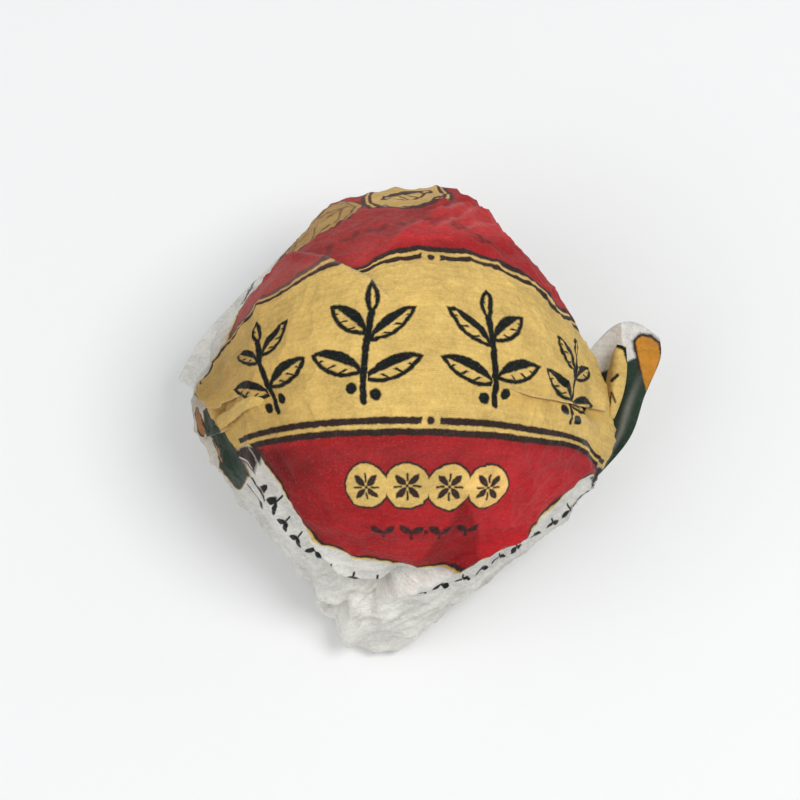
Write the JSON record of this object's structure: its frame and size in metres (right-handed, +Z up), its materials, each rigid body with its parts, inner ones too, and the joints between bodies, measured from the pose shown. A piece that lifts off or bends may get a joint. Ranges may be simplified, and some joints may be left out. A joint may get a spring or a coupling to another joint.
{
  "type": "paper-wrapped pressed tea pearl",
  "caption": "Ball of pressed tea shut in a square of printed cotton paper, its edges pulled out as folds at the sides and gathered in pleats underneath.",
  "frame": {"origin": "middle of the outline, on the plane that the part rests on", "axes": "+Z up through the ball and the printed disc, +X to the reader's right along the printed band, towards the curled ear"},
  "size_m": [0.0342, 0.0308, 0.0255],
  "materials": {
    "printed_paper": "matte"
  },
  "bodies": {
    "root": {"wrapped_pearl": "printed_paper"}
  },
  "joints": []
}
